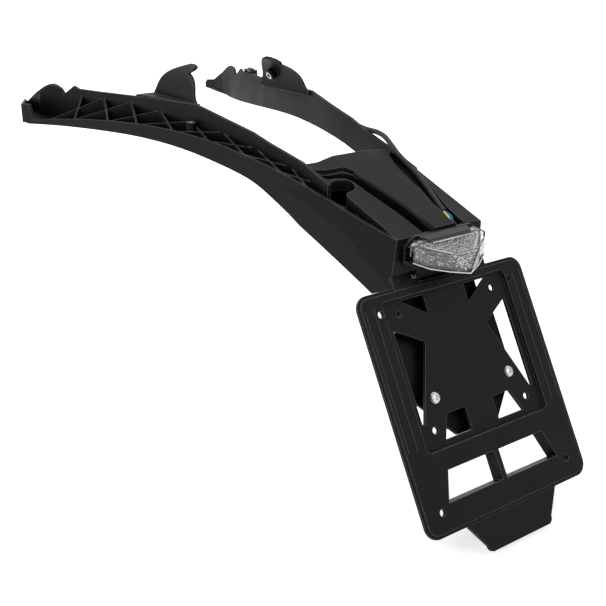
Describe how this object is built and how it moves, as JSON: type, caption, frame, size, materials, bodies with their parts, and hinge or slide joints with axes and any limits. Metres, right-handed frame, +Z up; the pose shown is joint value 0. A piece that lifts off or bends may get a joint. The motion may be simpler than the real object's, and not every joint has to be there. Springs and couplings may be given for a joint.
{
  "type": "rear fender extension",
  "caption": "Tail bracket with two ribbed arms that carries a clear rear light and a tilted number plate frame behind a motorcycle's seat.",
  "frame": {"origin": "on the front face of the plate frame, at mid width, just below its top edge", "axes": "+X to the right seen from behind the motorcycle, +Y forward along the arms, +Z up"},
  "size_m": [0.311, 0.7112, 0.3465],
  "materials": {
    "body_plastic": "fine matt grain",
    "frame_plastic": "satin, smoother than the arms",
    "housing_plastic": "gloss",
    "black_rubber": "matt",
    "reflector_metal": "bright, fluted",
    "board": "pale solder mask",
    "led_resin": "clear resin",
    "clear_lens": "clear, moulded flutes",
    "pebbled_optic": "clear, pebbled all over",
    "smoke_lens": "smoke tint",
    "zinc_steel": "zinc plated",
    "cable_jacket": "satin sleeve",
    "wire_yellow": "satin",
    "wire_blue": "satin"
  },
  "bodies": {
    "root": {"fender_body": "body_plastic", "plate_frame": "frame_plastic", "light_housing": "housing_plastic", "light_gasket": "black_rubber", "light_reflector": "reflector_metal", "light_optic": "pebbled_optic", "led_board": "board", "light_leds": "led_resin", "light_lens": "clear_lens", "light_top_strip": "smoke_lens", "light_nuts": "zinc_steel", "light_washers": "zinc_steel", "frame_centre_screws": "zinc_steel", "frame_centre_washers": "zinc_steel", "frame_centre_nuts": "zinc_steel", "frame_top_screws": "zinc_steel", "arm_sleeves": "zinc_steel", "hook_inserts": "zinc_steel", "cable": "cable_jacket", "cable_connector": "housing_plastic", "cable_grommet": "black_rubber", "wire_yellow_green": "wire_yellow", "wire_blue": "wire_blue"}
  },
  "joints": []
}
